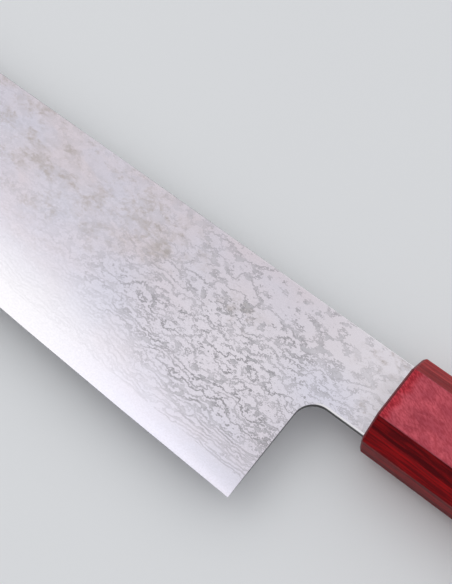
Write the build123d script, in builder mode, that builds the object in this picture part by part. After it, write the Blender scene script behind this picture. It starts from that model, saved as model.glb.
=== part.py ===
"""Kiritsuke kitchen knife: a three-layer forge-welded blade in an octagonal two-piece handle.

The knife lies on its right side. X runs along it from the tip (-X) to the butt (+X), the edge
faces -Y and the spine +Y, and the blade's left face looks up, along +Z. The origin is the
middle of the bounding box's floor. All sizes are in millimetres.
"""

from build123d import *

import os
from math import cos, radians, sin, sqrt

# Blade outline, seen from the side
blade_length = 210.0  # heel to tip
heel_height = 48.0  # edge to spine at the heel
tip_rise = 19.3  # how far the tip stands above the heel's level
spine_drop = 1.2  # how far the spine has come down where the clipped tip starts
clip_length = 31.0  # length of the clipped tip, along the blade
neck_length = 15.0  # heel line to the ferrule's face
neck_height = 19.5  # spine to the neck's underside
choil_radius = 5.0  # inner corner between the neck and the heel line
edge_rise_shares = (0.435, 0.262, 0.303)  # of tip_rise: the linear, square and fourth-power terms

# Blade thickness
heel_thickness = 2.4  # at the spine, over the heel
tip_thickness = 1.3  # at the spine line, carried on to the tip
edge_thickness = 0.12  # flat left along the cutting edge
spine_crown = 0.3  # how far the rounded spine stands over its two corners
choil_chamfer = 0.45  # depth of the chamfer round the choil, measured from the thickest section
choil_chamfer_angle = 45.0  # degrees
core_heel_thickness = 0.85  # hard middle layer, over the heel
core_tip_thickness = 0.5
# The grind, from edge to spine: shares of the section's height, and of half its thickness
grind_height_shares = (0.05, 0.2, 0.5, 1.0)
grind_thickness_shares = (0.22, 0.53, 0.84, 1.0)
# Where the sections stand, as shares of the blade's length from the heel towards the tip
station_shares = (0.0, 0.15, 0.3, 0.45, 0.6, 0.75, 0.9)

# Tang
tang_length = 98.0  # past the ferrule's face
tang_mouth_height = 10.0
tang_end_height = 5.0
tang_thickness = 2.1
tang_end_thickness = 1.6
tang_root = 4.0  # how far the tang's block reaches back into the neck
tang_end_radius = 1.5

# Handle, an octagon with four wide faces and four bevels
handle_length = 140.0
front_width = 18.0  # across the blade's thickness
front_height = 23.5  # along the blade's height
front_bevel = 5.25  # leg of each corner bevel
butt_width = 20.5
butt_height = 25.5
butt_bevel = 5.7
ferrule_length = 30.0
rim_chamfer = 0.7  # round both ends
handle_edge_radius = 0.45  # softens every outer edge, those of the end chamfers too

# Dowel that joins the ferrule to the handle body
dowel_diameter = 13.5
dowel_clearance = 0.05  # glue line around the dowel
mortise_depth = 24.0  # into the back of the ferrule
dowel_end_wall = 15.5  # solid wood past the tang's slot
dowel_end_gap = 0.5  # glue pocket at the bottom of the handle body's bore
dowel_chamfer = 0.8

# Slot that takes the tang
slot_clearance = 0.4  # resin on each side of the tang at the mouth
slot_end_gap = 4.0  # resin past the tang's end

overrun = 2.0  # how far cutters run past what they cut

# Places worked out from the sizes
overall_length = blade_length + neck_length + handle_length
butt_x = overall_length / 2
front_x = butt_x - handle_length
joint_x = front_x + ferrule_length
heel_x = front_x - neck_length
tip_x = heel_x - blade_length
spine_above_axis = neck_height / 2
edge_below_axis = heel_height - spine_above_axis
axis_y = (edge_below_axis - max(butt_height / 2, spine_above_axis)) / 2
axis_z = butt_width / 2
neck_y = spine_above_axis - neck_height
clip_share = 1 - clip_length / blade_length
slot_height = tang_mouth_height + 2 * slot_clearance
slot_width = tang_thickness + 2 * slot_clearance
slot_depth = tang_length + slot_end_gap
dowel_x = joint_x - mortise_depth
dowel_length = front_x + slot_depth + dowel_end_wall - dowel_x
bore_depth = dowel_x + dowel_length + dowel_end_gap - joint_x
bore_radius = dowel_diameter / 2 + dowel_clearance

# The blade's own plane: its axes are the knife's length and the blade's height
side_plane = Plane(origin=(0, axis_y, axis_z))


def cross_plane(x):
    """Plane square to the knife's length: its x axis is the blade's height, its y axis +Z."""
    return Plane(origin=(x, axis_y, axis_z), x_dir=(0, 1, 0), z_dir=(1, 0, 0))


def taper(start, end, share):
    """Value that runs in a straight line from start to end."""
    return start + (end - start) * share


def edge_y(share):
    """Height of the cutting edge over the handle's axis, at a share of the blade's length."""
    linear, square, fourth = edge_rise_shares
    rise = linear * share + square * share**2 + fourth * share**4
    return -edge_below_axis + tip_rise * rise


def spine_y(share):
    """Height of the spine over the handle's axis, which comes down towards the tip."""
    return spine_above_axis - spine_drop * (max(share, 0) / clip_share) ** 4


def blade_section(share):
    """Outline of the convex-ground blade at a share of its length, as a closed face."""
    low = edge_y(share)
    top = spine_y(share)
    high = top - spine_crown
    half = taper(heel_thickness, tip_thickness, share) / 2
    left = [(low, edge_thickness / 2)]
    for height_share, thickness_share in zip(grind_height_shares, grind_thickness_shares):
        left.append((taper(low, high, height_share), half * thickness_share))
    right = [(y, -z) for y, z in left]
    with BuildSketch(cross_plane(heel_x - share * blade_length)) as section:
        with BuildLine():
            Spline(*left)
            ThreePointArc(left[-1], (top, 0), right[-1])
            Spline(*reversed(right))
            Line(right[0], left[0])
        make_face()
    return section.sketch


def tang_section(x, height, thickness):
    """Rectangular section of the tang."""
    with BuildSketch(cross_plane(x)) as section:
        Rectangle(height, thickness)
    return section.sketch


def core_face(side):
    """Slightly tapered plane between the core and the cladding on one side, facing outwards."""
    lean = (core_heel_thickness - core_tip_thickness) / 2 / blade_length
    height = axis_z + side * core_heel_thickness / 2
    return Plane(origin=(heel_x, axis_y, height), x_dir=(0, 1, 0), z_dir=(-lean, 0, side))


def choil_outline(plane):
    """What the choil takes away, from the heel line to just past the ferrule's face."""
    width = neck_length + overrun
    height = heel_height - neck_height + overrun
    with BuildSketch(plane) as outline:
        with Locations((heel_x, neck_y)):
            Rectangle(width, height, align=(Align.MIN, Align.MAX))
        inner_corner = outline.vertices().group_by(Axis.X)[0].sort_by(Axis.Y)[-1]
        fillet(inner_corner, radius=choil_radius)
    return outline.sketch


def facet_reach(turn, width, height, bevel):
    """How far a facet of the octagon stands from the axis, by the way it faces, in degrees."""
    if turn % 180 == 0:
        return height / 2
    if turn % 180 == 90:
        return width / 2
    return ((height + width) / 2 - bevel) / sqrt(2)


def facet_plane(turn):
    """Plane of one facet of the handle, facing outwards; turn 0 faces the spine's way."""
    front_reach = facet_reach(turn, front_width, front_height, front_bevel)
    butt_reach = facet_reach(turn, butt_width, butt_height, butt_bevel)
    outward = Vector(0, cos(radians(turn)), sin(radians(turn)))
    lean = Vector((butt_reach - front_reach) / handle_length, 0, 0)
    origin = Vector(front_x, axis_y, axis_z) + outward * front_reach
    return Plane(origin=origin, z_dir=outward - lean)


# The tang as one tapering bar, which the blade and the resin around it share
with BuildPart() as tang:
    root_share = -tang_root / tang_length
    root_height = taper(tang_mouth_height, tang_end_height, root_share)
    root_thickness = taper(tang_thickness, tang_end_thickness, root_share)
    add(tang_section(front_x - tang_root, root_height, root_thickness))
    add(tang_section(front_x + tang_length, tang_end_height, tang_end_thickness))
    loft(ruled=True)
    fillet(tang.edges().filter_by(Axis.Z).group_by(Axis.X)[-1], radius=tang_end_radius)

# The whole blade with its tang, before it is told apart into its three layers
with BuildPart() as blank:
    for share in (-neck_length / blade_length, *station_shares, 1 + overrun / blade_length):
        add(blade_section(share))
    loft()

    # Clipped tip: everything above a straight line from the tip to the spine goes
    clip_x = tip_x + clip_length
    clip_y = spine_y(clip_share)
    clip_run = 2 * overrun
    clip_rise = clip_run * (clip_y - edge_y(1)) / clip_length
    with BuildSketch(side_plane):
        with BuildLine():
            Polyline(
                (tip_x - clip_run, edge_y(1) - clip_rise),
                (clip_x + clip_run, clip_y + clip_rise),
                (tip_x - clip_run, clip_y + clip_rise),
                close=True,
            )
        make_face()
    extrude(amount=heel_thickness, both=True, mode=Mode.SUBTRACT)

    # Choil: the cut between the heel line and the ferrule. Its chamfer fades out down the heel
    # line, where the blade is thinner than the level at which the chamfer starts.
    add(choil_outline(side_plane))
    extrude(amount=heel_thickness, both=True, mode=Mode.SUBTRACT)
    for side in (1, -1):
        add(choil_outline(side_plane.offset(side * (heel_thickness / 2 - choil_chamfer))))
        extrude(amount=side * heel_thickness, taper=-choil_chamfer_angle, mode=Mode.SUBTRACT)
    add(tang.part)

with BuildPart() as core_steel:
    add(blank.part)
    for side in (1, -1):
        split(bisect_by=core_face(side), keep=Keep.BOTTOM)

with BuildPart() as left_cladding:
    add(blank.part)
    split(bisect_by=core_face(1), keep=Keep.TOP)

with BuildPart() as right_cladding:
    add(blank.part)
    split(bisect_by=core_face(-1), keep=Keep.TOP)

# The whole outside of the handle, before it is told apart into the ferrule and the body
with BuildPart() as handle_form:
    with BuildSketch(cross_plane(front_x)):
        Rectangle(max(front_height, butt_height) + overrun, max(front_width, butt_width) + overrun)
    extrude(amount=handle_length)
    for turn in range(0, 360, 45):
        split(bisect_by=facet_plane(turn), keep=Keep.BOTTOM)
    end_faces = handle_form.faces().sort_by(Axis.X)
    chamfer(end_faces[0].edges() + end_faces[-1].edges(), length=rim_chamfer)
    fillet(handle_form.edges(), radius=handle_edge_radius)

with BuildPart() as ferrule:
    add(handle_form.part)
    split(bisect_by=cross_plane(joint_x), keep=Keep.BOTTOM)
    with BuildSketch(cross_plane(dowel_x)):
        Circle(bore_radius)
    extrude(amount=mortise_depth + overrun, mode=Mode.SUBTRACT)
    with BuildSketch(cross_plane(front_x)):
        Rectangle(slot_height, slot_width)
    extrude(amount=ferrule_length, mode=Mode.SUBTRACT)

with BuildPart() as handle_body:
    add(handle_form.part)
    split(bisect_by=cross_plane(joint_x), keep=Keep.TOP)
    with BuildSketch(cross_plane(joint_x)):
        Circle(bore_radius)
    extrude(amount=bore_depth, mode=Mode.SUBTRACT)

with BuildPart() as dowel:
    with BuildSketch(cross_plane(dowel_x)):
        Circle(dowel_diameter / 2)
    extrude(amount=dowel_length)
    chamfer(dowel.faces().sort_by(Axis.X)[-1].edges(), length=dowel_chamfer)
    with BuildSketch(cross_plane(front_x)):
        Rectangle(slot_height, slot_width)
    extrude(amount=slot_depth, mode=Mode.SUBTRACT)

# Resin that beds the tang in its slot
with BuildPart() as tang_bedding:
    with BuildSketch(cross_plane(front_x)):
        Rectangle(slot_height, slot_width)
    extrude(amount=slot_depth)
    add(tang.part, mode=Mode.SUBTRACT)

os.makedirs("parts", exist_ok=True)
core_steel.part.label = "core_steel"
export_step(core_steel.part, "parts/core_steel.step")
left_cladding.part.label = "left_cladding"
export_step(left_cladding.part, "parts/left_cladding.step")
right_cladding.part.label = "right_cladding"
export_step(right_cladding.part, "parts/right_cladding.step")
ferrule.part.label = "ferrule"
export_step(ferrule.part, "parts/ferrule.step")
handle_body.part.label = "handle_body"
export_step(handle_body.part, "parts/handle_body.step")
dowel.part.label = "dowel"
export_step(dowel.part, "parts/dowel.step")
tang_bedding.part.label = "tang_bedding"
export_step(tang_bedding.part, "parts/tang_bedding.step")
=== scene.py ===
"""Kiritsuke knife: the finish of every piece, the light and the camera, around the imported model.

The knife lies on its side, X from tip to butt, +Y the spine's way, +Z out of the blade's left
face. Blender's units are metres; the patterns are worked out in millimetres. A height is how far a
point of the blade lies over the cutting edge. A pair of places, heights or limits says where a
change starts and ends. A spot is the two places of its middle, then its reach both ways.
"""

from math import cos, pi, radians, sin

import bpy
from mathutils import Matrix, Vector

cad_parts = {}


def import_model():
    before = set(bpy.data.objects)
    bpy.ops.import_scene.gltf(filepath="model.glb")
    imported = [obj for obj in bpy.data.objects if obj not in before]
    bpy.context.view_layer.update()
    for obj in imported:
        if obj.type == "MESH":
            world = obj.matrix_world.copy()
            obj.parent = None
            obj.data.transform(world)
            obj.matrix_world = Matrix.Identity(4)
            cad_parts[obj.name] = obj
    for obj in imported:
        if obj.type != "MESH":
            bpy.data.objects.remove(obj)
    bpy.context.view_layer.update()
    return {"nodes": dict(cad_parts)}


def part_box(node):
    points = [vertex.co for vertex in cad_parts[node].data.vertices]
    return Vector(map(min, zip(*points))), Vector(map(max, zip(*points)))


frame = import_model()

MM = 0.001

# Places of the knife, in millimetres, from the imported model
blade_low, blade_high = (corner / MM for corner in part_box("core_steel"))
dowel_low, dowel_high = (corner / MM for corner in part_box("dowel"))
front_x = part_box("ferrule")[0].x / MM
axis_y = (dowel_low.y + dowel_high.y) / 2
axis_z = (dowel_low.z + dowel_high.z) / 2
tip_x = blade_low.x
heel_y = blade_low.y
spine_y = blade_high.y

# Sizes of the blade that its patterns follow, in millimetres
neck_length = 15.0
heel_x = front_x - neck_length
tip_rise = 19.3
edge_rise_powers = (1.0, 2.0, 4.0)
edge_rise_shares = (0.435, 0.262, 0.303)

# The blade's patterns are drawn out along it, each side has its own, and a fine noise tears them
along_share = 0.66
side_apart = 40.0
tear_size = 0.45

# Middle of a value that runs from 0 to 1
MIDDLE = 0.5

# Blender's mix node: its sockets for the share and the two values, and the socket of the result
NUMBER_MIX = ((0, 2, 3), 0)
COLOUR_MIX = ((0, 6, 7), 2)


class Graph:
    """Builds a node tree from numbers, colours and sockets."""

    def __init__(self, tree):
        self.tree = tree
        self.tree.nodes.clear()

    def node(self, kind, **settings):
        node = self.tree.nodes.new(kind)
        for name, value in settings.items():
            setattr(node, name, value)
        return node

    def put(self, socket, value):
        if isinstance(value, bpy.types.NodeSocket):
            self.tree.links.new(value, socket)
        else:
            socket.default_value = value

    def math(self, operation, *values, clamp=False):
        node = self.node("ShaderNodeMath", operation=operation, use_clamp=clamp)
        for socket, value in zip(node.inputs, values):
            self.put(socket, value)
        return node.outputs[0]

    def vector_math(self, operation, *vectors):
        node = self.node("ShaderNodeVectorMath", operation=operation)
        for socket, value in zip(node.inputs, vectors):
            self.put(socket, value)
        return node.outputs[0]

    def add(self, first, *others):
        total = first
        for value in others:
            total = self.math("ADD", total, value)
        return total

    def times(self, first, *rest):
        product = first
        for value in rest:
            product = self.math("MULTIPLY", product, value)
        return product

    def less(self, a, b):
        return self.math("SUBTRACT", a, b)

    def without(self, share, most):
        """What is left of 1 when a share of the most is taken away."""
        return self.less(1.0, self.times(share, most))

    def decay(self, value, reach):
        """Fall from 1 at zero towards 0, to about a third at the reach."""
        return self.math("EXPONENT", self.math("DIVIDE", value, self.times(reach, -1.0)))

    def step(self, value, start, end, low=0.0, high=1.0):
        """Smooth change from low to high as the value goes from start to end."""
        node = self.node("ShaderNodeMapRange", interpolation_type="SMOOTHSTEP", clamp=True)
        for socket, number in zip(node.inputs, (value, start, end, low, high)):
            self.put(socket, number)
        return node.outputs[0]

    def band(self, value, middle, reach, full_share):
        """Soft band: 1 round its middle, 0 at its reach."""
        far = self.math("ABSOLUTE", self.math("DIVIDE", self.less(value, middle), reach))
        return self.step(far, full_share, 1.0, 1.0, 0.0)

    def spot(self, x, y, middle_x, middle_y, reach_x, reach_y, full_share=0.0):
        """Soft oval patch: 1 round its middle, 0 at its reach."""
        off_x = self.math("DIVIDE", self.less(x, middle_x), reach_x)
        off_y = self.math("DIVIDE", self.less(y, middle_y), reach_y)
        far = self.math("SQRT", self.add(self.times(off_x, off_x), self.times(off_y, off_y)))
        return self.step(far, full_share, 1.0, 1.0, 0.0)

    def off_middle(self, count):
        """How far a count lies from the middle of its layer: 0 there, a half at the seams."""
        return self.math("ABSOLUTE", self.less(self.math("FRACT", count), MIDDLE))

    def vector(self, x, y, z):
        node = self.node("ShaderNodeCombineXYZ")
        for socket, value in zip(node.inputs, (x, y, z)):
            self.put(socket, value)
        return node.outputs[0]

    def split(self, vector):
        node = self.node("ShaderNodeSeparateXYZ")
        self.put(node.inputs[0], vector)
        return tuple(node.outputs)

    def scaled(self, vector, shares):
        """The vector, with a share of its own for each direction."""
        return self.vector_math("MULTIPLY", vector, shares)

    def noise(self, vector, scale, detail=2.0, roughness=0.5, distortion=0.0):
        node = self.node("ShaderNodeTexNoise", noise_dimensions="3D")
        self.put(node.inputs["Vector"], vector)
        self.put(node.inputs["Scale"], scale)
        self.put(node.inputs["Detail"], detail)
        self.put(node.inputs["Roughness"], roughness)
        self.put(node.inputs["Distortion"], distortion)
        return node.outputs[0]

    def swing(self, vector, scale, reach, **kinds):
        """Noise that swings about zero."""
        return self.times(self.less(self.noise(vector, scale, **kinds), MIDDLE), reach)

    def jitter(self, vector, scale, reach):
        """The vector, shaken in every direction by noise."""
        noise = self.node("ShaderNodeTexNoise", noise_dimensions="3D")
        self.put(noise.inputs["Vector"], vector)
        self.put(noise.inputs["Scale"], scale)
        centred = self.vector_math("SUBTRACT", noise.outputs["Color"], (MIDDLE, MIDDLE, MIDDLE))
        return self.vector_math("MULTIPLY_ADD", centred, self.vector(reach, reach, reach), vector)

    def chance(self, number):
        """Random value from 0 to 1 that belongs to a whole number."""
        node = self.node("ShaderNodeTexWhiteNoise", noise_dimensions="1D")
        self.put(node.inputs["W"], number)
        return node.outputs["Value"]

    def between(self, kind, sockets, share, low, high):
        places, result = sockets
        node = self.node("ShaderNodeMix", data_type=kind)
        for place, value in zip(places, (share, low, high)):
            self.put(node.inputs[place], value)
        return node.outputs[result]

    def mix(self, share, low, high):
        """Colour between low and high."""
        return self.between("RGBA", COLOUR_MIX, share, low, high)

    def blend(self, share, low, high):
        """Number between low and high."""
        return self.between("FLOAT", NUMBER_MIX, share, low, high)

    def bump(self, height, strength, distance):
        node = self.node("ShaderNodeBump")
        self.put(node.inputs["Strength"], strength)
        self.put(node.inputs["Distance"], distance)
        self.put(node.inputs["Height"], height)
        return node.outputs[0]

    def millimetres(self):
        """The point's own x, y, z in the model, in millimetres."""
        place = self.node("ShaderNodeTexCoord").outputs["Object"]
        return self.split(self.scaled(place, (1 / MM, 1 / MM, 1 / MM)))

    def facing(self):
        """The x, y, z of the direction that the surface faces in the model."""
        return self.split(self.node("ShaderNodeTexCoord").outputs["Normal"])

    def turned(self, direction):
        """A direction of the model, turned and scaled as a shader's normal has to be."""
        turn = self.node(
            "ShaderNodeVectorTransform", vector_type="NORMAL", convert_from="OBJECT", convert_to="WORLD"
        )
        self.put(turn.inputs[0], direction)
        return turn.outputs[0]

    def surface(self, **inputs):
        """Ends the material in a principled shader with these inputs."""
        shader = self.node("ShaderNodeBsdfPrincipled")
        for name, value in inputs.items():
            self.put(shader.inputs[name.replace("_", " ")], value)
        output = self.node("ShaderNodeOutputMaterial")
        self.tree.links.new(shader.outputs[0], output.inputs["Surface"])


def new_material(name):
    material = bpy.data.materials.new(name)
    material.use_nodes = True
    return material, Graph(material.node_tree)


def dress(node_name, material):
    """Gives a CAD node its material."""
    node = frame["nodes"][node_name]
    node.data.materials.clear()
    node.data.materials.append(material)


def height_over_edge(g, x, y):
    """How far a point of the blade lies above the cutting edge, in millimetres."""
    ahead_share = g.math("DIVIDE", g.less(heel_x, x), heel_x - tip_x, clamp=True)
    rise = 0.0
    for power, rise_share in zip(edge_rise_powers, edge_rise_shares):
        rise = g.add(rise, g.times(g.math("POWER", ahead_share, power), rise_share))
    return g.less(y, g.add(g.times(rise, tip_rise), heel_y))


def side_plan(g, x, y, z):
    """Place on the blade's side, drawn out along the blade, with a pattern of its own on each side."""
    side = g.math("SIGN", g.less(z, axis_z))
    return g.vector(g.times(x, along_share), y, g.times(side, side_apart))


def plain_steel(g, plan, x, height):
    """Colour of the steel where nothing is etched: bluish below, pinkish above, with a fine grain."""
    pinkish = (0.680, 0.616, 0.655, 1)
    bluish = (0.653, 0.636, 0.712, 1)
    cloud_size = 10.0
    cloud_reach = 2.0
    bluish_heights = (44.0, 8.0)
    bluish_shares = (0.2, 0.8)
    cloud = g.swing(plan, 1 / cloud_size, cloud_reach)
    cool = g.math("ADD", g.step(height, *bluish_heights, *bluish_shares), cloud, clamp=True)
    tone = g.mix(cool, pinkish, bluish)

    # Whiter along the edge towards the tip, and brighter ahead of the heel
    whitish = (0.680, 0.662, 0.680, 1)
    bright = (0.755, 0.71, 0.755, 1)
    whitish_heights = (20.0, 3.0)
    whitish_places = (heel_x - 19.5, heel_x - 67.5)
    bright_spot = (heel_x - 17.5, 25.0, 36.0, 24.0)
    whiter = g.times(g.step(height, *whitish_heights), g.step(x, *whitish_places))
    tone = g.mix(whiter, tone, whitish)
    tone = g.mix(g.spot(x, height, *bright_spot), tone, bright)

    grain_grey = (0.44, 0.42, 0.45, 1)
    grain_size = 0.3
    grain_limits = (0.25, 0.75)
    grain_share = 0.16
    grain = g.step(g.noise(plan, 1 / grain_size, detail=1.0), *grain_limits, 0.0, grain_share)
    tone = g.mix(grain, tone, grain_grey)
    return steel_by_handle(g, tone, x, height)


def steel_by_handle(g, tone, x, height):
    """The steel's colour, warmer and brighter by the handle, bluish on the neck, with painted shade by
    the ferrule.
    """
    warm = (0.735, 0.695, 0.732, 1)
    neck_blue = (0.69, 0.672, 0.748, 1)
    # Painted shade: the neck is darker and greyer next to the ferrule
    ferrule_shade = (0.60, 0.57, 0.60, 1)
    warm_places = (front_x - 36.0, front_x - 6.0)
    warm_heights = (18.0, 36.0)
    neck_spot = (front_x - 12.5, 30.0, 17.0, 11.0)
    ferrule_shade_places = (front_x - 6.0, front_x - 1.0)
    ferrule_shade_heights = (46.0, 41.0)
    ferrule_shade_share = 0.45
    warmer = g.times(g.step(x, *warm_places), g.step(height, *warm_heights))
    tone = g.mix(warmer, tone, warm)
    tone = g.mix(g.spot(x, height, *neck_spot), tone, neck_blue)
    # Painted shade by the ferrule, over the neck below the spine
    shaded_by_ferrule = g.times(g.step(x, *ferrule_shade_places, 0.0, ferrule_shade_share), g.step(height, *ferrule_shade_heights))
    return g.mix(shaded_by_ferrule, tone, ferrule_shade)


def layer_field(g, plan, height):
    """Count of the layers that the grind has cut through, with the hammered waves of the layers."""
    edge_layers = 21.0
    edge_reach = 12.0
    layers_per_mm = 0.08
    cut_share = g.less(1.0, g.decay(height, edge_reach))
    depth = g.add(g.times(cut_share, edge_layers), g.times(height, layers_per_mm))

    # The layers lie open towards the spine, and calm near the edge
    open_heights = (26.0, 42.0)
    open_shares = (1.0, 0.55)
    lively_heights = (3.0, 18.0)
    lively_shares = (0.75, 1.0)
    open_above = g.step(height, *open_heights, *open_shares)
    lively = g.step(height, *lively_heights, *lively_shares)

    # Long swells, waves and ragged lines, whose reach is a number of layers
    swell_size = 9.0
    swell_shares = (0.55, 1.0, 1.0)
    swell_heights = (2.0, 24.0)
    swell_reaches = (7.0, 3.0)
    wave_size = 5.2
    wave_heights = (3.0, 20.0)
    wave_reaches = (3.3, 5.2)
    ragged_size = 1.8
    ragged_reach = 2.8
    tear_reach = 1.7
    torn = g.jitter(plan, 1 / tear_size, g.times(lively, tear_reach))
    swell_reach = g.step(height, *swell_heights, *swell_reaches)
    swell = g.swing(g.scaled(plan, swell_shares), 1 / swell_size, swell_reach, detail=0.0)
    wave_reach = g.times(g.step(height, *wave_heights, *wave_reaches), open_above)
    waves = g.swing(torn, 1 / wave_size, wave_reach, detail=1.0, distortion=0.4)
    ragged = g.swing(torn, 1 / ragged_size, ragged_reach, detail=1.0)
    return g.add(depth, swell, waves, g.times(ragged, lively, open_above))


def steepness(g, plan, height, field):
    """How fast the count of the layers changes along the side, in layers per millimetre."""
    probe = 0.14
    least = 0.25
    probe_along = (probe * along_share, 0.0, 0.0)
    probe_across = (0.0, probe, 0.0)
    along = layer_field(g, g.vector_math("ADD", plan, probe_along), height)
    across = layer_field(g, g.vector_math("ADD", plan, probe_across), g.add(height, probe))
    off_along = g.less(along, field)
    off_across = g.less(across, field)
    change = g.math("SQRT", g.add(g.times(off_along, off_along), g.times(off_across, off_across)))
    return g.math("MAXIMUM", g.times(change, 1 / probe), least)


def corner_finish(g, tone, facing_y, upright, chamfer, x, y):
    """The steel's colour, with a painted highlight along the spine's corner and the neck's chamfers, and
    with a painted dark reflection on the faces across the layers.
    """
    # Painted highlight: the spine's corner and the neck's chamfers are paler, as if they caught the lamp
    spine_neck_highlight = (0.77, 0.745, 0.765, 1)
    spine_band = (spine_y - 0.55, spine_y - 0.35)
    highlight_places = (heel_x - 47.5, front_x - 4.5)
    highlight_shares = (0.15, 1.0)
    neck_facings = (-0.55, -0.68)
    at_spine = g.times(g.step(y, *spine_band), g.step(x, *highlight_places, *highlight_shares))
    at_neck = g.times(chamfer, g.step(facing_y, *neck_facings))
    tone = g.mix(g.add(at_spine, at_neck), tone, spine_neck_highlight)

    # Painted dark reflection: the faces across the layers are near black where they face the edge's
    # side, grey on the spine's side
    dark_section_reflection = (0.03, 0.03, 0.03, 1)
    spine_section = (0.50, 0.49, 0.51, 1)
    section_uprights = (0.62, 0.55)
    spine_facings = (0.1, 0.5)
    section_tone = g.mix(g.step(facing_y, *spine_facings), dark_section_reflection, spine_section)
    return g.mix(g.step(upright, *section_uprights), tone, section_tone)


def grind_normal(g, facing, upright, chamfer, x, height):
    """Shading normal: the side leans out towards the edge, and a chamfer's corners are rounded over."""
    grind_places = (heel_x - 72.5, heel_x - 22.5)
    grind_reaches = (12.8, 7.4)
    grind_slope = 0.09
    bevel_places = (heel_x - 62.5, heel_x - 15.5)
    bevel_slopes = (0.08, 0.26)
    bevel_reach = 2.6
    grind = g.times(g.decay(height, g.step(x, *grind_places, *grind_reaches)), grind_slope)
    bevel = g.times(g.decay(height, bevel_reach), g.step(x, *bevel_places, *bevel_slopes))

    grind_ahead_share = 0.05
    bevel_ahead_share = 0.25
    taper_slope = 0.0026
    side_uprights = (0.975, 0.985)
    rounded_share = 0.3
    slope = g.add(grind, bevel)
    ahead = g.add(g.times(grind, grind_ahead_share), g.times(bevel, bevel_ahead_share), taper_slope)
    side = g.step(upright, *side_uprights)
    lean = g.blend(chamfer, 1.0, rounded_share)
    facing_x, facing_y, facing_z = facing
    normal_x = g.blend(side, g.times(facing_x, lean), g.times(ahead, -1.0))
    normal_y = g.blend(side, g.times(facing_y, lean), g.times(slope, -1.0))
    return g.turned(g.vector(normal_x, normal_y, facing_z))


def finish_steel(g, tone, roughness, x, y, height):
    """Ends a steel: one smooth convex grind, eased corners with a painted highlight, and a painted dark
    reflection on the faces across the layers.
    """
    chamfer_starts = (0.62, 0.66)
    chamfer_ends = (0.97, 0.90)
    facing = g.facing()
    facing_x, facing_y, facing_z = facing
    upright = g.math("ABSOLUTE", facing_z)
    chamfer = g.times(g.step(upright, *chamfer_starts), g.step(upright, *chamfer_ends))
    tone = corner_finish(g, tone, facing_y, upright, chamfer, x, y)
    normal = grind_normal(g, facing, upright, chamfer, x, height)
    g.surface(Base_Color=tone, Metallic=1.0, Roughness=roughness, Normal=normal)


def etch_strength(g, plan, field, x, height):
    """How strongly the layers are etched: patchy, weaker by the edge, the spine and the handle; the
    fading by the edge is partly a painted highlight for the lamp's glare.
    """
    patch_size = 3.1
    patch_limits = (0.38, 0.60)
    patch_shares = (0.6, 1.0)
    layer_shares = (0.62, 1.0)
    patches = g.step(g.noise(plan, 1 / patch_size), *patch_limits, *patch_shares)
    strength = g.times(g.blend(g.chance(g.math("FLOOR", field)), *layer_shares), patches)

    # Faint up to a wavy height over the edge, which is greater towards the tip: partly a polished edge,
    # partly a painted highlight where the lamp's glare washes out the lines
    wave_size = 8.0
    wave_reach = 5.0
    calm_places = (heel_x - 31.5, heel_x - 15.5)
    calm_heights = (3.0, 1.5)
    calm_rise = 10.0
    rise_middle = heel_x - 85.5
    rise_reach = 68.0
    rise_full_share = 0.2
    edge_heights = (0.0, 15.0)
    edge_shares = (0.24, 1.0)
    wavy_height = g.add(height, g.swing(plan, 1 / wave_size, wave_reach))
    rise = g.times(g.band(x, rise_middle, rise_reach, rise_full_share), calm_rise)
    calm_height = g.add(g.step(x, *calm_places, *calm_heights), rise)
    near_edge = g.step(g.less(wavy_height, calm_height), *edge_heights, *edge_shares)

    # Weaker above a height that is less towards the tip, and again by the handle
    weak_places = (heel_x - 57.5, heel_x - 22.5)
    weak_heights = (20.0, 33.0)
    spine_heights = (0.0, 14.0)
    spine_shares = (1.0, 0.75)
    handle_places = (front_x - 24.0, front_x - 4.0)
    handle_shares = (1.0, 0.5)
    weak_height = g.step(x, *weak_places, *weak_heights)
    near_spine = g.step(g.less(height, weak_height), *spine_heights, *spine_shares)
    near_handle = g.step(x, *handle_places, *handle_shares)
    return g.times(strength, near_edge, near_spine, near_handle)


def dark_layers(g, torn, field, steep, height, soft):
    """Shares of the dark layers, which are thin with thick blotches, and of their darker rims."""
    blotch_size = 2.0
    blotch_limits = (0.53, 0.62)
    blotch_heights = (24.0, 40.0)
    blotch_shares = (0.21, 0.27)
    thin_heights = (22.0, 10.0)
    thin_shares = (0.05, 0.115)
    soft_share = 0.10
    blurs = (0.10, 0.30)
    rim_reaches = (0.15, 0.02)
    rim_shares = (0.8, 0.1)
    spread = g.noise(torn, 1 / blotch_size, detail=3.0, distortion=0.6)
    blotch = g.step(spread, *blotch_limits, 0.0, g.step(height, *blotch_heights, *blotch_shares))
    thickness = g.add(g.step(height, *thin_heights, *thin_shares), blotch, g.times(soft, soft_share))
    off_rim = g.math("DIVIDE", g.less(g.off_middle(field), thickness), steep)
    blur = g.blend(soft, *blurs)
    dark = g.step(off_rim, blur, g.times(blur, -1.0))
    rim = g.step(g.math("ABSOLUTE", off_rim), *rim_reaches, 0.0, g.blend(soft, *rim_shares))
    return dark, rim


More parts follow.
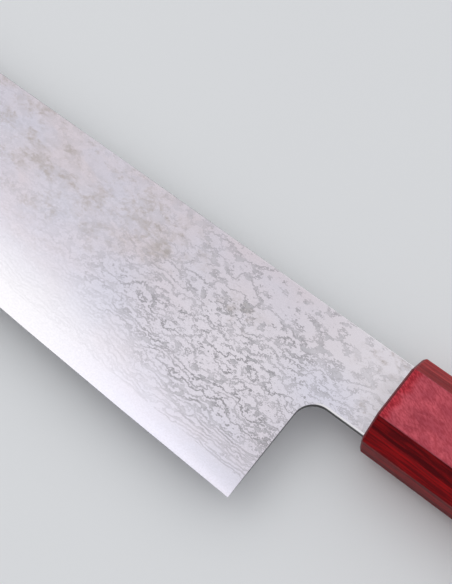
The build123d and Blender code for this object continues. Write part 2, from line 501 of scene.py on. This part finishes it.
def warm_stains(g, plan, torn, x, y, stained):
    """Share of the warm stains: patches and haze, both speckled."""
    patch_spots = (
        (heel_x - 47.5, heel_y + 38.5, 16.0, 9.0),
        (heel_x - 23.7, heel_y + 34.1, 12.0, 6.0),
        (heel_x + 9.5, heel_y + 45.5, 12.0, 10.0),
        (heel_x + 11.5, heel_y + 32.5, 8.0, 9.0),
    )
    patch_size = 3.0
    patch_limits = (0.47, 0.64)
    patch_noise = g.noise(plan, 1 / patch_size, detail=7.0, roughness=0.76, distortion=0.3)
    patchy = g.add(stained, *(g.spot(x, y, *spot) for spot in patch_spots))

    haze_spots = (
        (heel_x - 79.5, heel_y + 38.5, 11.0, 8.0),
        (heel_x - 46.5, heel_y + 36.5, 9.0, 6.5),
        (heel_x + 13.5, heel_y + 43.5, 8.0, 9.0),
    )
    haze_shares = (0.5, 1.2, 0.35)
    haze_size = 4.0
    haze_limits = (0.42, 0.58)
    haze_noise = g.noise(plan, 1 / haze_size, detail=7.0, roughness=0.70)
    hazy = 0.0
    for haze_share, spot in zip(haze_shares, haze_spots):
        hazy = g.add(hazy, g.times(g.spot(x, y, *spot), haze_share))

    speckle_size = 0.9
    speckle_limits = (0.40, 0.60)
    speckle_shares = (0.40, 1.0)
    speckle_noise = g.noise(torn, 1 / speckle_size, detail=4.0, roughness=0.6)
    haze = g.times(hazy, g.step(haze_noise, *haze_limits))
    stain = g.math("MULTIPLY_ADD", patchy, g.step(patch_noise, *patch_limits), haze, clamp=True)
    return g.times(stain, g.step(speckle_noise, *speckle_limits, *speckle_shares))


def damascus():
    """Etched layered steel: thin dark layers between thick pale ones."""
    material, g = new_material("damascus_steel")
    x, y, z = g.millimetres()
    plan = side_plan(g, x, y, z)
    height = height_over_edge(g, x, y)
    field = layer_field(g, plan, height)
    steep = steepness(g, plan, height, field)

    # Rubbed faint and soft by the edge towards the tip, which also stands for the lamp's glare there as
    # a painted highlight, and stained above
    rubbed_glare_spot = (heel_x - 83.5, 4.0, 64.0, 34.0)
    rubbed_glare_full_share = 0.35
    rubbed_glare_fade_share = 0.5
    rubbed_glare_soft_share = 0.25
    stained_spot = (heel_x - 81.5, heel_y + 41.5, 60.0, 30.0)
    stained_full_share = 0.2
    stained_fade_share = 0.6
    stained_soft_share = 0.8
    rubbed_and_glare = g.spot(x, height, *rubbed_glare_spot, rubbed_glare_full_share)
    stained = g.spot(x, y, *stained_spot, stained_full_share)
    fade = g.times(
        etch_strength(g, plan, field, x, height),
        g.without(rubbed_and_glare, rubbed_glare_fade_share),
        g.without(stained, stained_fade_share),
    )
    soft = g.math("MAXIMUM", g.times(stained, stained_soft_share), g.times(rubbed_and_glare, rubbed_glare_soft_share))

    tear_reach = 1.2
    torn = g.jitter(plan, 1 / tear_size, tear_reach)
    dark, rim = dark_layers(g, torn, field, steep, height, soft)
    stain = warm_stains(g, plan, torn, x, y, stained)

    # Pale layers, bluish between the stains and brown in them
    bluish = (0.60, 0.585, 0.66, 1)
    brown = (0.480, 0.430, 0.418, 1)
    bluish_size = 6.5
    bluish_limits = (0.50, 0.40)
    bluish_share = 0.4
    brown_share = 0.9
    blue_patches = g.step(g.noise(plan, 1 / bluish_size, detail=4.0), *bluish_limits)
    pale = plain_steel(g, plan, x, height)
    pale = g.mix(g.times(stained, blue_patches, bluish_share), pale, bluish)
    pale = g.mix(g.times(stain, brown_share), pale, brown)

    # Dark layers and their rims
    grey = (0.42, 0.41, 0.43, 1)
    stained_grey = (0.43, 0.40, 0.38, 1)
    rim_grey = (0.20, 0.19, 0.198, 1)
    pale_roughness = 0.22
    dark_roughness = 0.18
    etched = g.times(dark, fade)
    tone = g.mix(etched, pale, g.mix(stain, grey, stained_grey))
    tone = g.mix(g.times(rim, fade), tone, rim_grey)
    finish_steel(g, tone, g.blend(etched, pale_roughness, dark_roughness), x, y, height)
    return material


def core_finish():
    """Plain satin steel of the hard layer."""
    material, g = new_material("core_steel_satin")
    line_shares = (6.0, 0.3, 1.0)
    roughnesses = (0.20, 0.24)
    x, y, z = g.millimetres()
    height = height_over_edge(g, x, y)
    tone = plain_steel(g, side_plan(g, x, y, z), x, height)
    lines = g.noise(g.scaled(g.vector(x, y, z), line_shares), 1.0, detail=3.0)
    finish_steel(g, tone, g.blend(lines, *roughnesses), x, y, height)
    return material


def veneer_count(g, x, y, z):
    """Count of the veneers across the handle, which wander a little along it."""
    veneer = 0.9
    wander_shares = (0.03, 0.1, 0.1)
    wander_reach = 1.2
    wander = g.swing(g.scaled(g.vector(x, y, z), wander_shares), 1.0, wander_reach)
    return g.add(g.math("DIVIDE", g.less(z, axis_z), veneer), wander)


def veneer_fibres(g, x, y, across):
    """Streaks along the handle, flecks that slant across it, and clouds."""
    streak_shares = (0.07, 1.0, 1.0)
    streak_scale = 1.9
    fleck_slant = radians(22.0)
    fleck_shares = (0.85, 2.3, 1.0)
    cloud_shares = (0.22, 0.40, 0.3)
    place = g.vector(x, y, across)
    fleck_x = g.less(g.times(x, cos(fleck_slant)), g.times(y, sin(fleck_slant)))
    fleck_y = g.add(g.times(x, sin(fleck_slant)), g.times(y, cos(fleck_slant)))
    fleck_place = g.scaled(g.vector(fleck_x, fleck_y, across), fleck_shares)
    streaks = g.noise(g.scaled(place, streak_shares), streak_scale, detail=4.0, roughness=0.6)
    flecks = g.noise(fleck_place, 1.0, detail=3.0, roughness=0.6)
    clouds = g.noise(g.scaled(place, cloud_shares), 1.0, detail=3.0)
    return streaks, flecks, clouds


def veneer_edge_tone(g, index, streaks, facing_y):
    """Deep red of the veneers' cut edges, dark and light by turns, with a painted sheen that makes them
    lighter and greyer on the spine's side.
    """
    dark_red = (0.045, 0.001, 0.003, 1)
    light_red = (0.22, 0.007, 0.010, 1)
    spine_side_sheen_red = (0.33, 0.035, 0.040, 1)
    streak_red = (0.35, 0.007, 0.009, 1)
    spine_side_sheen_streak_red = (0.50, 0.058, 0.060, 1)
    first_index = 31.0
    light_shares = (0.15, 1.0)
    upper_facings = (0.3, 0.6)
    upper_shares = (0.45, 1.0)
    streak_limits = (0.44, 0.62)
    streak_shares = (0.2, 1.0)
    light = g.blend(g.chance(g.add(index, first_index)), *light_shares)
    # Painted sheen: cut edges that face the spine's side get lighter, greyer reds
    upper = g.times(g.step(facing_y, *upper_facings), g.blend(light, *upper_shares))
    streaky = g.times(g.step(streaks, *streak_limits), g.blend(light, *streak_shares))
    tone = g.mix(upper, g.mix(light, dark_red, light_red), spine_side_sheen_red)
    return g.mix(streaky, tone, g.mix(upper, streak_red, spine_side_sheen_streak_red))


def veneer_face_tone(g, x, y, z, flecks, clouds):
    """Pale pink of a veneer's face with a painted sheen, redder behind the front rim where no sheen is
    painted, with dark flecks.
    """
    # Painted sheen: both pinks are paler and greyer than the wood, and their clouds are a hazy painted
    # reflection
    pink = (0.48, 0.075, 0.105, 1)
    pale_pink_sheen = (0.67, 0.115, 0.150, 1)
    unsheened_front_red = (0.55, 0.022, 0.036, 1)
    fleck_red = (0.26, 0.010, 0.020, 1)
    cloud_limits = (0.32, 0.68)
    front_scale = 0.45
    front_reach = 3.0
    front_places = (front_x + 1.2, front_x + 3.4)
    front_share = 0.7
    wavy_x = g.add(x, g.swing(g.vector(0.0, y, z), front_scale, front_reach))
    at_front = g.step(wavy_x, *front_places, 1.0, 0.0)
    tone = g.mix(g.step(clouds, *cloud_limits), pink, pale_pink_sheen)
    tone = g.mix(g.times(at_front, front_share), tone, unsheened_front_red)

    # Each pair is for the handle and for its front
    fleck_starts = (0.64, 0.58)
    fleck_ends = (0.34, 0.44)
    fleck_shares = (0.45, 0.75)
    fleck_start = g.blend(at_front, *fleck_starts)
    fleck_end = g.blend(at_front, *fleck_ends)
    flecked = g.times(g.step(flecks, fleck_start, fleck_end), g.blend(at_front, *fleck_shares))
    return g.mix(flecked, tone, fleck_red)


def pakkawood():
    """Red resin-laminated wood: veneers stacked across the blade's thickness."""
    material, g = new_material("red_pakkawood")
    veneer_shift = 7.3
    x, y, z = g.millimetres()
    facing_x, facing_y, facing_z = g.facing()
    layer = veneer_count(g, x, y, z)
    index = g.math("FLOOR", layer)
    streaks, flecks, clouds = veneer_fibres(g, x, y, g.add(z, g.times(index, veneer_shift)))

    # A facet that faces straight up or down shows a veneer's face, the others show cut edges
    face_uprights = (0.72, 0.80)
    upright = g.math("ABSOLUTE", facing_z)
    face = g.step(upright, *face_uprights)
    edge_tone = veneer_edge_tone(g, index, streaks, facing_y)
    face_tone = veneer_face_tone(g, x, y, z, flecks, clouds)
    tone = g.mix(face, edge_tone, face_tone)

    # Dark seams between the veneers
    seam_red = (0.05, 0.0005, 0.001, 1)
    seam_limits = (0.40, 0.5)
    seam_shares = (0.5, 0.12)
    seam = g.step(g.off_middle(layer), *seam_limits)
    tone = g.mix(g.times(seam, g.blend(face, *seam_shares)), tone, seam_red)

    # Painted highlight on the eased edges of the faces, and a painted grey sheen on the chamfer of the
    # front rim
    eased_highlight_red = (0.25, 0.065, 0.080, 1)
    rim_sheen_red = (0.21, 0.070, 0.078, 1)
    eased_uprights = (0.985, 0.93)
    eased_highlight_share = 0.5
    rim_facings = (-0.30, -0.42)
    rim_places = (front_x + 0.55, front_x + 0.25)
    eased = g.times(face, g.step(upright, *eased_uprights))
    at_rim = g.times(g.step(facing_x, *rim_facings), g.step(x, *rim_places))
    tone = g.mix(g.times(eased, eased_highlight_share), tone, eased_highlight_red)
    tone = g.mix(at_rim, tone, rim_sheen_red)

    wood_roughnesses = (0.40, 0.52)
    eased_roughness = 0.25
    specular = 0.09
    bump_strength = 0.15
    bump_height = 0.05 * MM
    normal = g.bump(streaks, bump_strength, bump_height)
    roughness = g.blend(eased, g.blend(flecks, *wood_roughnesses), eased_roughness)
    g.surface(Base_Color=tone, Roughness=roughness, Specular_IOR_Level=specular, Normal=normal)
    return material


def dowel_wood():
    """Plain pale hardwood with grain along the knife."""
    material, g = new_material("dowel_wood")
    pale_wood = (0.66, 0.50, 0.32, 1)
    dark_wood = (0.48, 0.33, 0.18, 1)
    grain_shares = (0.06, 1.0, 1.0)
    grain_scale = 1.4
    grain_limits = (0.3, 0.7)
    roughnesses = (0.55, 0.7)
    bump_strength = 0.2
    bump_height = 0.05 * MM
    place = g.scaled(g.vector(*g.millimetres()), grain_shares)
    grain = g.noise(place, grain_scale, detail=4.0, roughness=0.6)
    tone = g.mix(g.step(grain, *grain_limits), pale_wood, dark_wood)
    normal = g.bump(grain, bump_strength, bump_height)
    g.surface(Base_Color=tone, Roughness=g.blend(grain, *roughnesses), Normal=normal)
    return material


def resin():
    """Cured epoxy, in a darker amber that is partly painted shade for the gap between the neck and the
    ferrule.
    """
    material, g = new_material("epoxy_resin")
    # Painted shade: both ambers are kept dark so the resin reads as the shadowed gap at the neck
    dark_amber = (0.36, 0.25, 0.13, 1)
    pale_amber = (0.44, 0.32, 0.18, 1)
    cloud_scale = 0.3
    roughnesses = (0.25, 0.35)
    cloud = g.noise(g.vector(*g.millimetres()), cloud_scale)
    tone = g.mix(cloud, dark_amber, pale_amber)
    g.surface(Base_Color=tone, Roughness=g.blend(cloud, *roughnesses))
    return material


def floor():
    """Plain pale table top under the knife."""
    half = 20.0
    corners = [(-half, -half, 0), (half, -half, 0), (half, half, 0), (-half, half, 0)]
    mesh = bpy.data.meshes.new("floor")
    mesh.from_pydata(corners, [], [(0, 1, 2, 3)])
    table = bpy.data.objects.new("floor", mesh)
    bpy.context.scene.collection.objects.link(table)

    material, g = new_material("pale_table")
    table_grey = (0.80, 0.81, 0.82, 1)
    table_white = (0.82, 0.83, 0.84, 1)
    cloud_scale = 0.01
    table_roughness = 0.7
    cloud = g.noise(g.vector(*g.millimetres()), cloud_scale)
    g.surface(Base_Color=g.mix(cloud, table_grey, table_white), Roughness=table_roughness)
    mesh.materials.append(material)


def world():
    """Soft light that falls off from overhead to the horizon, most of all in front."""
    sky_white = (0.97, 0.98, 1.0, 1)
    overhead_limits = (0.0, 0.85)
    overhead_shares = (0.36, 0.97)
    front_limits = (-0.98, -0.25)
    front_shares = (0.42, 1.0)
    sky = bpy.data.worlds.new("studio")
    bpy.context.scene.world = sky
    sky.use_nodes = True
    g = Graph(sky.node_tree)
    across, away, up = g.split(g.node("ShaderNodeTexCoord").outputs["Generated"])
    overhead = g.step(up, *overhead_limits, *overhead_shares)
    front = g.step(away, *front_limits, *front_shares)
    back = g.node("ShaderNodeBackground")
    g.put(back.inputs["Color"], sky_white)
    g.put(back.inputs["Strength"], g.times(overhead, front))
    output = g.node("ShaderNodeOutputWorld")
    g.tree.links.new(back.outputs[0], output.inputs["Surface"])


def softbox(name, low, high, height, brightness):
    """Soft lamp that hangs level over the table and shines down, from corner to corner."""
    low_x, low_y = low
    high_x, high_y = high
    light = bpy.data.lights.new(name, "AREA")
    light.shape = "RECTANGLE"
    light.size = high_x - low_x
    light.size_y = high_y - low_y
    light.energy = brightness * pi * light.size * light.size_y
    obj = bpy.data.objects.new(name, light)
    bpy.context.scene.collection.objects.link(obj)
    obj.location = ((low_x + high_x) / 2, (low_y + high_y) / 2, height)


def camera():
    """The photograph's view: looking down on the heel and the neck."""
    turn = radians(37.9)
    tilt = radians(22.0)
    distance = 0.388
    ahead_of_heel = 29.1
    below_axis = 1.475
    right = Vector((cos(turn), sin(turn), 0))
    ahead = Vector((-sin(turn), cos(turn), 0))
    back = Vector((0, 0, cos(tilt))) - ahead * sin(tilt)
    up = ahead * cos(tilt) + Vector((0, 0, sin(tilt)))
    target = Vector((heel_x - ahead_of_heel, axis_y - below_axis, axis_z)) * MM
    data = bpy.data.cameras.new("camera")
    data.sensor_width = 36.0
    data.lens = 107.9
    data.clip_start = 0.01
    obj = bpy.data.objects.new("camera", data)
    bpy.context.scene.collection.objects.link(obj)
    facing = Matrix((right, up, back)).transposed().to_4x4()
    obj.matrix_world = Matrix.Translation(target + back * distance) @ facing
    bpy.context.scene.camera = obj


steel = damascus()
dress("left_cladding", steel)
dress("right_cladding", steel)
dress("core_steel", core_finish())
wood = pakkawood()
dress("ferrule", wood)
dress("handle_body", wood)
dress("dowel", dowel_wood())
dress("tang_bedding", resin())

# The key lamp's corners and height, in metres, and how bright its face is
key_low = (-1.0, -0.6)
key_high = (-0.235, 0.19)
key_height = 1.0
key_brightness = 0.655

floor()
world()
softbox("key", key_low, key_high, key_height, key_brightness)
camera()
bpy.context.scene.view_settings.view_transform = "Standard"
